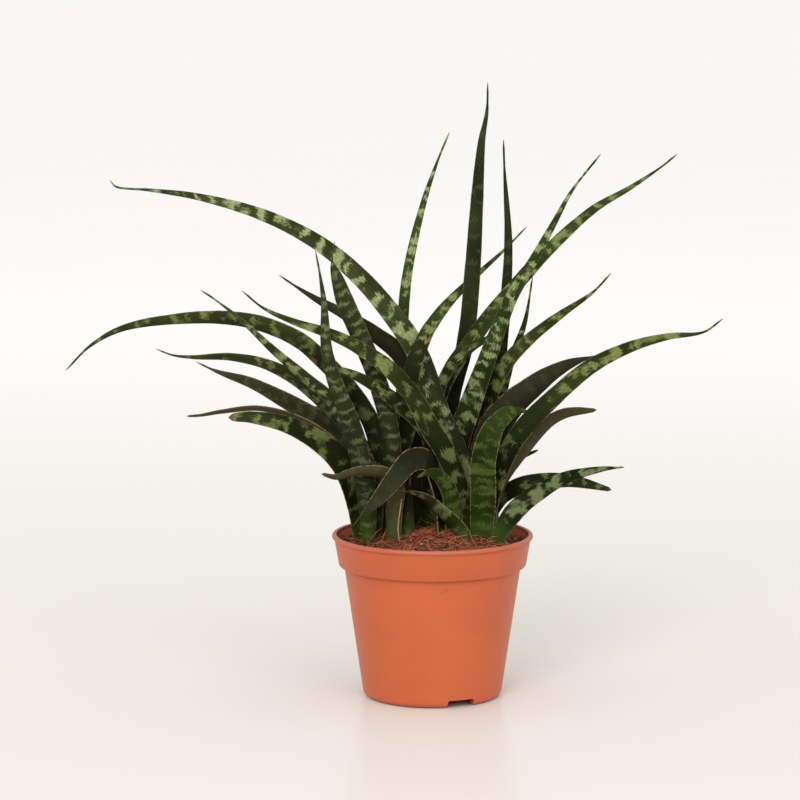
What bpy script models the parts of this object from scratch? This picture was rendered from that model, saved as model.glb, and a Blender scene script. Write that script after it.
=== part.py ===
"""Potted snake plant: arching, banded leaves in three tufts, in a 12 cm plastic nursery pot.

Metres, +Z up.  The origin is on the pot's axis, in the plane the pot stands on, and the
front of the plant looks along -Y.  Leaf routes are written in millimetres, root first.
"""
from dataclasses import dataclass
from math import cos, pi, radians, sin

import bmesh
import bpy
from mathutils import Matrix, Vector

MM = 0.001

# Driving dimensions, in metres.
POT_HEIGHT = 0.0977
LIP_RADIUS = 0.060
LIP_DEPTH = 0.0030
BAND_TOP_RADIUS = 0.0585
BAND_BOTTOM_RADIUS = 0.0559
BAND_BOTTOM_Z = 0.0789
BODY_TOP_RADIUS = 0.0526
BODY_TOP_Z = 0.0774
BASE_RADIUS = 0.0412
BASE_ROUND = 0.0040
WALL = 0.0014
FLOOR_UNDERSIDE_Z = 0.0048
FOOT_BOSS_RADIUS = 0.0080
NOTCH_WIDTH = 0.0170
NOTCH_HEIGHT = 0.0046
NOTCH_COUNT = 3
NOTCH_FIRST_ANGLE = radians(-66.0)
DRAIN_HOLE_RADIUS = 0.0040
DRAIN_HOLE_RING = 0.0260
DRAIN_HOLE_COUNT = 6

GAP = 0.0003                  # clearance between the soil and the pot's wall
SOCKET_GAP = 0.0014           # clearance around a leaf's root in the soil
SOIL_RIM_Z = 0.0922
SOIL_CROWN_RISE = 0.0065      # how far the middle of the soil stands above its edge
SOIL_RINGS = 5
TURN_STEPS = 48

# Leaf sections: eight corners, from one margin over the inner face and back outside.
INNER_STATIONS = (-1.0, -0.5, 0.0, 0.5, 1.0)
OUTER_STATIONS = (0.5, 0.0, -0.5)
RING_SPACING = 0.020
MIN_RINGS = 6
MAX_RINGS = 14
SOCKET_RINGS = 3
SOCKET_TOP_Z = 0.106
ROOT_THICKNESS = 0.0030
TIP_THICKNESS = 0.0011
TIP_WIDTH = 0.0012
WIDEST_AT = 0.30              # share of the leaf's length where the blade is widest
TWIST_ENDS_AT = 0.65          # share of the length by which a twisted blade has turned

POT_COLOUR = (0.62, 0.14, 0.06, 1.0)
SOIL_COLOUR = (0.20, 0.07, 0.03, 1.0)
LEAF_COLOUR = (0.035, 0.075, 0.020, 1.0)
OLIVE_COLOUR = (0.110, 0.110, 0.045, 1.0)


@dataclass
class Leaf:
    """One leaf: its route in mm, its width in mm and which way its inner face looks.

    faces is the compass angle, in degrees from +X towards +Y, of the inner face at the root.
    fullness says how long the blade keeps its width before it tapers, root_share is the
    root's width and blunt the tip's as shares of the blade's, and twist turns the blade, in
    degrees about its own direction, once it is past its widest place.
    """
    name: str
    faces: float
    width: float
    route: tuple
    fullness: float = 1.6
    root_share: float = 0.62
    blunt: float = 0.0
    twist: float = 0.0
    colour: tuple = LEAF_COLOUR


LEAVES = (
    # Left tuft.
    Leaf("leaf_long_left_arch", 64, 12.3, (
        (-32, 2, 90.5), (-31.5, 4, 129.5), (-39.8, 6, 167.5), (-73.9, 10, 207.2), (-99, 15, 220),
        (-126, 20, 224.4), (-161, 28, 222), (-187, 32, 216.5), (-206, 34, 206),
        (-221, 35, 191)), 1.8),
    Leaf("leaf_spotted_left", 60, 12.0, (
        (-41, -8, 90.5), (-40, -9, 118.5), (-41.5, -12, 142.5), (-59, -13, 176.9), (-75, -14, 192.4),
        (-92.3, -18, 208.2), (-113, -26, 229.3), (-128, -32, 242), (-135, -35, 247)), 1.3),
    Leaf("leaf_scarred_left", 42, 16.5, (
        (-35.5, -2, 90.5), (-36.5, -2.5, 123.5), (-51, -1.5, 158.5), (-76, -2, 185),
        (-97, -3, 198),
        (-119, -4, 203.5), (-141, -6, 204), (-153, -8, 205.5), (-163, -10, 209.5)), 1.9, 0.5),
    Leaf("leaf_dull_left", 60, 16.8, (
        (-40, 11, 90.5), (-42, 12, 126.5), (-52, 12, 151.5), (-70, 11, 164.3), (-91, 12, 176.7),
        (-109, 17, 185.5), (-129, 24, 191.5), (-142, 28, 197)), 1.9),
    Leaf("leaf_brown_left", 80, 12.0, (
        (-32, 12, 90.5), (-35, 15, 123.5), (-47, 16, 153.5), (-61, 17, 167.5), (-72, 19, 169.5),
        (-84, 21, 167.5)), 2.5, colour=OLIVE_COLOUR),
    Leaf("leaf_dry_tipped_left", 30, 10.0, (
        (-44, 8, 90.5), (-46, 6, 123.5), (-58, 4, 149.5), (-79, 3, 165), (-103, 5, 171.5),
        (-126, 9, 169.2), (-138, 12, 166.8), (-147, 15, 165.8)), 2.6, blunt=0.3, colour=OLIVE_COLOUR),
    Leaf("leaf_broad_low_left", 300, 16.0, (
        (-44, -2, 90.5), (-45.3, -3.6, 113.5), (-51.3, -5.5, 135), (-62.5, -5, 149.3),
        (-84, -5, 162.5),
        (-107, -5, 168), (-121, -5, 168)), 1.6, 0.5, blunt=0.35),
    Leaf("leaf_zigzag_middle", 80, 11.5, (
        (-24, -13, 90.5), (-24, -11, 128.5), (-25.6, -9, 160.5), (-33.4, -6, 191.5),
        (-43.4, -8, 217.5),
        (-51.3, -12, 236.5), (-56, -16, 251.5), (-59, -19, 262.5),
        (-57.5, -22, 274)), 10.0),
    Leaf("leaf_zigzag_left", 75, 13.0, (
        (-38, -14, 90.5), (-40, -16, 123.5), (-46, -19, 156.5), (-52.5, -21, 177), (-57, -22, 189),
        (-62.4, -23, 210), (-63.8, -25, 238), (-66, -26, 255), (-68.5, -27, 269)), 1.4),
    Leaf("leaf_crossing_right", 250, 11.5, (
        (-18, -1, 90.5), (-22, 1, 133.5), (-14, 3, 163.5), (-11.5, 6, 195.5), (-7, 8, 208),
        (-2.5, 14, 217.3), (10.1, 33, 232.2), (28, 49, 248), (42.5, 53, 260.9), (57.4, 56, 276))),
    Leaf("leaf_small_olive", 80, 10.0, (
        (-23, -20, 90.5), (-23, -20, 113.5), (-22, -21, 128), (-28, -24, 137), (-40, -25, 139),
        (-48, -25, 138), (-57, -25, 135.5), (-65.5, -25, 137.5)), 2.2, blunt=0.3, colour=OLIVE_COLOUR),
    Leaf("leaf_young_inner_left", 80, 8.0, (
        (-16, -9, 90.5), (-15, -9, 108.5), (-14, -8, 123.5), (-13, -7, 136.5)), 1.5),

    # Middle tuft, behind the other two.
    Leaf("leaf_slim_upright_left", 275, 7.4, (
        (-14, 29, 90.5), (-17.5, 31, 149), (-18.4, 33, 204), (-16.4, 34, 239), (-12.5, 36, 263),
        (-4.5, 44, 294), (3.6, 52, 317), (10.4, 57, 333)), 2.5),
    Leaf("leaf_tallest_dark", 260, 10.5, (
        (9, 29, 90.5), (11, 31, 134), (12, 33, 174), (20.4, 34, 209), (24.6, 37, 254),
        (26.6, 40, 287), (29.6, 47, 327), (32.9, 50, 346), (33.4, 53, 363)), 3.0),
    Leaf("leaf_right_sweep", 235, 11.5, (
        (-2, 22, 90.5), (-2, 24.5, 139), (8, 25, 183.5), (30.9, 25, 219.2), (44.7, 26, 236.3),
        (69.3, 30, 263.5), (96.5, 40, 287.3), (119.5, 50, 300), (138, 58, 311.5), (149, 65, 319.5)),
        2.0),
    Leaf("leaf_plain_dark_left", 82, 14.0, (
        (-11, 17, 90.5), (-11.5, 19, 138.5), (-10, 21.5, 184), (-19, 22, 201.5), (-34, 22, 214),
        (-52, 22, 226), (-69, 24, 235), (-84, 32, 243.5), (-92, 36, 248.5)), 1.8),
    Leaf("leaf_behind_spotted", 240, 11.0, (
        (3, 13, 90.5), (-1, 16, 133.5), (2, 18, 170.5), (10, 18, 193.5), (24, 17, 206.8),
        (35.5, 16, 215.1), (49, 15, 241.5)), 1.3),

    # Right tuft.
    Leaf("leaf_broad_top_left", 300, 15.4, (
        (25, -1, 90.5), (21.5, 1, 122.5), (13.4, 4, 146.5), (2, 9, 170.5), (-10.4, 16, 203.9),
        (-23.6, 16, 224.8), (-43, 14, 248.3), (-68, 5, 270.5), (-100, -10, 288.5),
        (-135, -25, 300), (-163, -40, 305.4), (-177, -49, 307.1), (-182, -53, 308.5),
        (-185, -55, 312)), 1.28),
    Leaf("leaf_long_under_left", 300, 13.6, (
        (19.2, -7, 90.5), (15, -8, 124.5), (7, -10, 146.5), (-2, -12, 161.5), (-11.6, -13, 180),
        (-25.6, -14, 197.5), (-43, -14, 210), (-60, -15, 218.7), (-82, -18, 226.7),
        (-99, -26, 235.5),
        (-111, -34, 246.5)), 1.4),
    Leaf("leaf_blunt_left", 300, 11.0, (
        (10, -2, 90.5), (5, -5, 128.5), (-4, -7, 159.5), (-12, -8, 169.5), (-19, -9, 175.5),
        (-34, -12, 187.5), (-51, -14, 196.5), (-60, -15, 198.5)), 3.0, blunt=0.3),
    Leaf("leaf_spotted_right", 255, 14.0, (
        (15, 12, 90.5), (14, 13, 128.5), (17, 12, 153.5), (24, 9, 176.5), (31.3, 6, 197.5),
        (38.4, 5, 217.5), (46.8, 5, 238.5), (60.5, 3, 262.5), (71.6, 0, 283.5), (81.4, -6, 302.5),
        (97.5, -14, 324.5)), 1.0),
    Leaf("leaf_slim_upright_right", 265, 8.0, (
        (26, 22, 90.5), (30.5, 26, 139), (40.5, 31, 197), (44.6, 33, 241), (45.6, 35, 271),
        (43.4, 43, 311), (42.9, 50, 329)), 2.2),
    Leaf("leaf_speckled_needle", 250, 8.5, (
        (33.5, 15, 90.5), (35.5, 16, 138.5), (40, 18, 170.5), (45.5, 18, 194.5), (49.5, 18, 205.5),
        (55.5, 18, 223.5), (59.6, 18, 249.5)), 1.8),
    Leaf("leaf_right_needle", 240, 12.5, (
        (25.5, 17, 90.5), (26, 17, 129), (30, 16.5, 158.5), (35.7, 14.6, 180), (44.9, 10, 199.1),
        (58.6, 8, 213.9), (76.3, 4, 228.5), (94, -6, 242.5), (104.3, -12, 254.5)), 1.5),
    Leaf("leaf_low_right_arch", 250, 12.0, (
        (33, -4, 90.5), (34.5, -5, 116.5), (42.7, -5, 142.5), (53.9, -6, 161.2), (72.3, -5, 180.3),
        (93.7, -6, 198.7), (116.5, -12, 211.1), (137.5, -23, 218.5), (157, -32, 222.1),
        (168, -36, 230.5)), 1.7, 0.7),
    Leaf("leaf_dark_right", 96, 21.5, (
        (32, 9, 90.5), (31.5, 9, 128.5), (37, 9, 158.5), (47, 9, 173), (58, 10, 182.5),
        (68.5, 12, 190.3), (79.5, 17, 196), (90, 22, 199.3), (101, 27, 201.4)), 1.8, 0.48),
    Leaf("leaf_brown_right", 130, 12.5, (
        (35.5, 2.5, 90.5), (35.5, 2, 108.5), (40.5, 2, 126), (50.5, 2, 141.5), (68.1, 4, 162.3),
        (79.3, 6, 168.6),
        (98, 12, 170)), 3.2, blunt=0.3, colour=OLIVE_COLOUR),
    Leaf("leaf_short_dark_right", 200, 8.0, (
        (38, 24, 90.5), (40, 22, 118.5), (44, 17, 132.5), (53, 14, 140.5),
        (63.5, 13, 145.8)), blunt=0.3),
    Leaf("leaf_low_right_back", 240, 10.5, (
        (33, 21, 90.5), (35, 19.5, 103.5), (39, 17.3, 112.5), (44, 14.5, 119), (53, 11, 124.3),
        (65, 11, 127.1),
        (84, 16, 126.3), (108, 22, 120)), 2.3, blunt=0.3),
    Leaf("leaf_low_right_front", 240, 12.5, (
        (36, -16, 89.5), (39.4, -16, 98), (44.6, -15, 106.9), (51.8, -14, 115.5), (61, -14, 123),
        (78.3, -17, 133.5), (98, -25, 140.1), (112, -30, 142.3)), 1.3, blunt=0.1),
    Leaf("leaf_curled_top", 265, 15.5, (
        (29, -10, 90.5), (30, -13, 125.5), (30, -14, 143.5), (35, -13, 161.5), (42, -10, 169.5),
        (49, -2, 171.5), (57, 3, 170.5)), 3.0, 0.78, blunt=0.2),
    Leaf("leaf_front_bow", 60, 11.5, (
        (22, -17, 88.5), (19, -19.3, 95.5), (13, -22.5, 105.5), (4, -24.5, 115), (-4, -26, 123),
        (-14, -27, 127), (-22, -28, 127)), 2.0, 0.8),
    Leaf("leaf_striped_front", 300, 12.0, (
        (10.6, -12.5, 90.5), (11.3, -14.3, 110.5), (9, -15.5, 125.5), (3.5, -20, 135),
        (-2.5, -25.2, 138.5), (-9.5, -29, 136)), 2.5, 0.7, blunt=0.2),
    Leaf("leaf_drooping_front", 335, 14.5, (
        (3.5, -12, 90.5), (2.7, -12.6, 116.5), (-1.3, -15.2, 134.5), (-5.4, -19.6, 144.5), (-14, -26, 145),
        (-22, -32, 137), (-31, -35, 126), (-41, -36, 115), (-47, -37, 108.5)), 3.2, colour=OLIVE_COLOUR),

    # Low arches at the back.
    Leaf("leaf_back_left", 290, 13.0, (
        (-22, 30, 90.5), (-24, 42, 134), (-31, 62, 147.5), (-38, 85, 139.5), (-44, 100, 127.5))),
    Leaf("leaf_back_middle_left", 275, 12.5, (
        (-1, 36, 90.5), (-3, 50, 139), (-5, 75, 149.5), (-8, 105, 135), (-10, 125, 108.5))),
    Leaf("leaf_back_middle_right", 265, 12.0, (
        (12, 38, 90.5), (14, 52, 137), (18, 75, 149.5), (22, 100, 145.5), (26, 120, 135))),
    Leaf("leaf_back_right", 255, 11.5, (
        (27, 30, 90.5), (29, 42, 131), (33, 62, 145.5), (35, 85, 141.5), (36, 100, 129.5))),
)


def clear_scene():
    for old in list(bpy.data.objects):
        bpy.data.objects.remove(old, do_unlink=True)


def make_collection(name):
    collection = bpy.data.collections.new(name)
    bpy.context.scene.collection.children.link(collection)
    return collection


def make_material(name, colour, roughness):
    material = bpy.data.materials.new(name)
    material.use_nodes = True
    shader = material.node_tree.nodes["Principled BSDF"]
    shader.inputs["Base Color"].default_value = colour
    shader.inputs["Roughness"].default_value = roughness
    shader.inputs["Metallic"].default_value = 0.0
    return material


def add_object(name, mesh, collection, material=None):
    new = bpy.data.objects.new(name, mesh)
    collection.objects.link(new)
    if material is not None:
        mesh.materials.append(material)
    return new


def mesh_from_bmesh(name, bm):
    mesh = bpy.data.meshes.new(name)
    bm.to_mesh(mesh)
    bm.free()
    return mesh


def turned(name, profile, collection, material):
    """A closed ring or disc: profile is (radius, z), down the outer side from the top."""
    bm = bmesh.new()
    corners = [bm.verts.new((radius, 0.0, z)) for radius, z in profile]
    for first, second in zip(corners, corners[1:]):
        bm.edges.new((first, second))
    new = add_object(name, mesh_from_bmesh(name, bm), collection, material)
    screw = new.modifiers.new("turn", "SCREW")
    screw.steps = TURN_STEPS
    screw.render_steps = TURN_STEPS
    screw.use_merge_vertices = True
    screw.merge_threshold = 0.00001
    screw.use_normal_calculate = False
    return new


def cut(target, cutter, name):
    cutter.hide_render = True
    cutter.display_type = "WIRE"
    boolean = target.modifiers.new(name, "BOOLEAN")
    boolean.operation = "DIFFERENCE"
    boolean.solver = "EXACT"
    boolean.object = cutter


def arc(centre, radius, start, end, steps):
    """Points (r, z) on an arc about centre, angles in degrees from the +r direction."""
    angles = [radians(start + (end - start) * step / steps) for step in range(steps + 1)]
    return [(centre[0] + radius * cos(a), centre[1] + radius * sin(a)) for a in angles]


def body_radius(z):
    """Outer radius of the tapered body at height z."""
    return BASE_RADIUS + (BODY_TOP_RADIUS - BASE_RADIUS) * z / BODY_TOP_Z


def pot_profile():
    lip = LIP_DEPTH / 2
    outer = arc((LIP_RADIUS - lip, POT_HEIGHT - lip), lip, 90, -60, 5)
    band = [(BAND_TOP_RADIUS, POT_HEIGHT - LIP_DEPTH - 0.0004),
            (BAND_BOTTOM_RADIUS, BAND_BOTTOM_Z),
            (BAND_BOTTOM_RADIUS - 0.0006, BAND_BOTTOM_Z - 0.0008)]
    rounded = BASE_ROUND
    corner = (body_radius(rounded) - rounded, rounded)
    body = [(BODY_TOP_RADIUS, BODY_TOP_Z)] + arc(corner, rounded, 0, -72, 3)
    foot_inner = corner[0] - WALL
    underside = [(corner[0], 0.0), (foot_inner, 0.0), (foot_inner, FLOOR_UNDERSIDE_Z),
                 (FOOT_BOSS_RADIUS, FLOOR_UNDERSIDE_Z), (FOOT_BOSS_RADIUS, 0.0), (0.0, 0.0)]
    floor_z = FLOOR_UNDERSIDE_Z + WALL
    inside = [(0.0, floor_z), (body_radius(floor_z) - WALL, floor_z),
              (BODY_TOP_RADIUS - WALL, BODY_TOP_Z),
              (BAND_BOTTOM_RADIUS - WALL, BAND_BOTTOM_Z + 0.0012),
              (BAND_TOP_RADIUS - WALL, POT_HEIGHT - LIP_DEPTH)]
    return outer + band + body + underside, inside


def ring_section(radius_gap):
    """Corners of the soil's side, which follow the pot's inner wall at the given gap."""
    floor_z = FLOOR_UNDERSIDE_Z + WALL + radius_gap
    slope = (BAND_TOP_RADIUS - BAND_BOTTOM_RADIUS) / (POT_HEIGHT - LIP_DEPTH - BAND_BOTTOM_Z)
    rim_radius = BAND_BOTTOM_RADIUS - WALL - radius_gap + slope * (SOIL_RIM_Z - BAND_BOTTOM_Z)
    return [(rim_radius, SOIL_RIM_Z),
            (BAND_BOTTOM_RADIUS - WALL - radius_gap - 0.0002, BAND_BOTTOM_Z + 0.0016),
            (BODY_TOP_RADIUS - WALL - radius_gap, BODY_TOP_Z),
            (body_radius(floor_z) - WALL - radius_gap, floor_z), (0.0, floor_z)]


def make_pot(parts, cutters):
    outside, inside = pot_profile()
    top = (LIP_RADIUS - LIP_DEPTH, POT_HEIGHT - LIP_DEPTH / 2)
    profile = outside + inside + [top, outside[0]]
    pot = turned("pot", profile, parts, make_material("pot_plastic", POT_COLOUR, 0.42))
    for index in range(NOTCH_COUNT):
        angle = NOTCH_FIRST_ANGLE + 2 * pi * index / NOTCH_COUNT
        bm = bmesh.new()
        bmesh.ops.create_cube(bm, size=1.0)
        reach = BASE_RADIUS * 0.45
        bmesh.ops.scale(bm, vec=(reach, NOTCH_WIDTH, 2 * NOTCH_HEIGHT), verts=bm.verts)
        notch = add_object(f"notch_cutter_{index + 1}", mesh_from_bmesh("notch", bm), cutters)
        centre = BASE_RADIUS * 0.92
        notch.location = (centre * cos(angle), centre * sin(angle), 0.0)
        notch.rotation_euler = (0.0, 0.0, angle)
        cut(pot, notch, f"notch_{index + 1}")
    for index in range(DRAIN_HOLE_COUNT):
        angle = NOTCH_FIRST_ANGLE + pi / 6 + 2 * pi * index / DRAIN_HOLE_COUNT
        bm = bmesh.new()
        bmesh.ops.create_cone(bm, cap_ends=True, segments=16, radius1=DRAIN_HOLE_RADIUS,
                              radius2=DRAIN_HOLE_RADIUS, depth=6 * WALL)
        drill = add_object(f"drain_cutter_{index + 1}", mesh_from_bmesh("drain", bm), cutters)
        drill.location = (DRAIN_HOLE_RING * cos(angle), DRAIN_HOLE_RING * sin(angle),
                          FLOOR_UNDERSIDE_Z + WALL / 2)
        cut(pot, drill, f"drain_{index + 1}")
    return pot


def route_point(points, lengths, distance):
    """A point on the smooth curve through the points, at a distance along their chain."""
    index = 0
    while index < len(lengths) - 2 and distance > lengths[index + 1]:
        index += 1
    before, after = max(index - 1, 0), min(index + 2, len(points) - 1)
    span = lengths[index + 1] - lengths[index]
    start_slope = (points[index + 1] - points[before]) / (lengths[index + 1] - lengths[before])
    end_slope = (points[after] - points[index]) / (lengths[after] - lengths[index])
    u = (distance - lengths[index]) / span
    return (points[index] * (2 * u**3 - 3 * u**2 + 1) + start_slope * span * (u**3 - 2 * u**2 + u)
            + points[index + 1] * (3 * u**2 - 2 * u**3) + end_slope * span * (u**3 - u**2))


def leaf_width(leaf, share):
    """Width at a share of the length: narrow root, widest near a third, then a taper."""
    full = leaf.width * MM
    if share < WIDEST_AT:
        rise = sin(share / WIDEST_AT * pi / 2)
        return full * (leaf.root_share + (1 - leaf.root_share) * rise)
    fall = (share - WIDEST_AT) / (1 - WIDEST_AT)
    taper = 1 - (1 - leaf.blunt) * fall ** leaf.fullness
    return max(full * taper, TIP_WIDTH)


def leaf_rings(leaf, swell=0.0):
    """Rings of eight corners from root to tip; swell pushes every corner outwards."""
    points = [Vector(point) * MM for point in leaf.route]
    lengths = [0.0]
    for first, second in zip(points, points[1:]):
        lengths.append(lengths[-1] + (second - first).length)
    count = max(MIN_RINGS, min(MAX_RINGS, round(lengths[-1] / RING_SPACING) + 2))
    inner = Vector((cos(radians(leaf.faces)), sin(radians(leaf.faces)), 0.0))
    rings = []
    for index in range(count):
        share = index / (count - 1)
        here = route_point(points, lengths, share * lengths[-1])
        ahead = route_point(points, lengths, min(share + 0.01, 1.0) * lengths[-1])
        behind = route_point(points, lengths, max(share - 0.01, 0.0) * lengths[-1])
        along = (ahead - behind).normalized()
        inner = (inner - along * inner.dot(along)).normalized()
        turn = (share - WIDEST_AT) / (TWIST_ENDS_AT - WIDEST_AT)
        turn = radians(leaf.twist) * max(0.0, min(1.0, turn))
        face_out = Matrix.Rotation(turn, 3, along) @ inner
        side = along.cross(face_out)
        half_width = leaf_width(leaf, share) / 2
        thickness = ROOT_THICKNESS + (TIP_THICKNESS - ROOT_THICKNESS) * share
        thickness = min(thickness, 2 * half_width)
        channel = half_width * (0.45 - 0.35 * share)
        ring = []
        for station, face in ([(s, 1) for s in INNER_STATIONS] + [(s, -1) for s in OUTER_STATIONS]):
            across = station * (half_width + swell)
            bulge = (1 - station**2) ** 0.5 * (thickness / 2 + swell)
            lift = channel * station**2 + face * bulge
            ring.append(here + side * across + face_out * lift)
        rings.append(ring)
    return rings


def loft(name, rings):
    """A closed body through rings that all have the same number of corners."""
    bm = bmesh.new()
    corners = [[bm.verts.new(point) for point in ring] for ring in rings]
    size = len(corners[0])
    for lower, upper in zip(corners, corners[1:]):
        for index in range(size):
            following = (index + 1) % size
            bm.faces.new((lower[index], lower[following], upper[following], upper[index]))
    bm.faces.new(corners[0][::-1])
    bm.faces.new(corners[-1])
    bmesh.ops.triangulate(bm, faces=bm.faces)
    bmesh.ops.recalc_face_normals(bm, faces=bm.faces)
    return mesh_from_bmesh(name, bm)


def make_leaf(leaf, parts, material):
    mesh = loft(leaf.name, leaf_rings(leaf))
    mesh.shade_smooth()
    return add_object(leaf.name, mesh, parts, material)


def make_socket_cutter(leaf, cutters):
    """The lower stretch of a leaf, swollen by the clearance, to cut its hole in the soil."""
    rings = leaf_rings(leaf, swell=SOCKET_GAP)[:SOCKET_RINGS]
    kept = [rings[0]]
    for lower, upper in zip(rings, rings[1:]):
        low_z = sum(point.z for point in lower) / len(lower)
        high_z = sum(point.z for point in upper) / len(upper)
        reach = min(1.0, (SOCKET_TOP_Z - low_z) / (high_z - low_z))
        kept.append([a.lerp(b, reach) for a, b in zip(lower, upper)])
        if reach < 1.0:
            break
    drop = (kept[1][0] - kept[0][0]).normalized() * SOCKET_GAP
    kept[0] = [point - drop for point in kept[0]]
    return add_object("socket_" + leaf.name, loft("socket", kept), cutters)


def make_soil(parts, cutters):
    side = ring_section(GAP)
    rim_radius = side[0][0]
    crown = []
    for index in range(SOIL_RINGS):
        share = index / SOIL_RINGS
        crown.append((rim_radius * share, SOIL_RIM_Z + SOIL_CROWN_RISE * (1 - share**2)))
    material = make_material("potting_soil", SOIL_COLOUR, 0.95)
    soil = turned("potting_soil", crown + side, parts, material)
    for leaf in LEAVES:
        cut(soil, make_socket_cutter(leaf, cutters), "socket")
    return soil


def main():
    clear_scene()
    parts = make_collection("potted_snake_plant")
    cutters = make_collection("cutters")
    make_pot(parts, cutters)
    make_soil(parts, cutters)
    greens = {colour: make_material(name, colour, 0.45)
              for name, colour in (("leaf_green", LEAF_COLOUR), ("leaf_olive", OLIVE_COLOUR))}
    for leaf in LEAVES:
        make_leaf(leaf, parts, greens[leaf.colour])


main()
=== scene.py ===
"""Looks of the potted snake plant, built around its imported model.

Metres, +Z up, the front of the plant towards -Y.  Leaf routes are written in millimetres from
the root to the tip, and the soil, the pot's details and the marks on the leaves as well.
"""

from dataclasses import dataclass
from math import cos, pi, radians, sin, sqrt
from random import Random

import bmesh
import bpy
from mathutils import Matrix, Vector, noise


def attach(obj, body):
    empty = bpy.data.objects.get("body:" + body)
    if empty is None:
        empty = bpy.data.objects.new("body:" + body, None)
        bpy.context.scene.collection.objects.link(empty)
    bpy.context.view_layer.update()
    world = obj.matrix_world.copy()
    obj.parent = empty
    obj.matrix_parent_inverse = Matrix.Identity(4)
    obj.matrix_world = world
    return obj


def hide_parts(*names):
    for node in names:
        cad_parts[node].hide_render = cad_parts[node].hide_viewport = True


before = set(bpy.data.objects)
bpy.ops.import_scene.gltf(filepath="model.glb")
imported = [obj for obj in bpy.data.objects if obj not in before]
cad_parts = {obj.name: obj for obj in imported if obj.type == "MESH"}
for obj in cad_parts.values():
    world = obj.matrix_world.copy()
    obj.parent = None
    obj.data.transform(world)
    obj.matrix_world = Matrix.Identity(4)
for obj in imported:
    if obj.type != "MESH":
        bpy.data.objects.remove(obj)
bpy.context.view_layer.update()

MM = 0.001

# Leaf blades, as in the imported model.
ROOT_THICKNESS = 3.0
TIP_THICKNESS = 1.0
WIDEST_AT = 0.30
RING_SPACING = 2.0
STATIONS = 10                 # steps from one margin to the other on each face
NEEDLE_LENGTH = 5.0
NEEDLE_WIDTH = 0.35

# Pot and soil.
POT_HEIGHT = 97.7
POT_STEPS = 144
WALL = 1.3
BASE_RADIUS = 41.2
BODY_TOP_RADIUS = 52.6
BODY_TOP_Z = 77.4
BAND_BOTTOM_RADIUS = 55.9
BAND_BOTTOM_Z = 78.9
BAND_TOP_RADIUS = 58.5
LIP_RADIUS = 60.0
SOIL_RADIUS = 55.4
SOIL_RIM_Z = 92.2
SOIL_CROWN_RISE = 6.5
NOTCH_FIRST_ANGLE = radians(-66.0)
NOTCH_WIDTH = 17.0
NOTCH_HEIGHT = 4.6
NOTCH_CUT_DEPTH = 18.5
NOTCH_CUT_RADIUS = 38.0       # from the pot's axis to the middle of the cut
DRAIN_COUNT = 6
DRAIN_RADIUS = 4.0
DRAIN_RING_RADIUS = 26.0
FIBRE_COUNT = 1500
FIBRE_SPREAD = 52             # the fibres' middles stay this near the axis
FIBRE_REACH = 54              # and their ends this near


@dataclass
class Leaf:
    """One leaf: its route and width in mm, the way its inner face looks, and its skin.

    marks are lighter patches and scars single wounds, each (share of length, place across
    from -1 to 1, length in mm, width as a share of the blade's, strength).
    """
    name: str
    skin: str
    faces: float
    width: float
    route: tuple
    fullness: float = 1.6
    root_share: float = 0.62
    blunt: float = 0.0
    needle: float = NEEDLE_LENGTH
    marks: tuple = ()
    scars: tuple = ()


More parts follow.
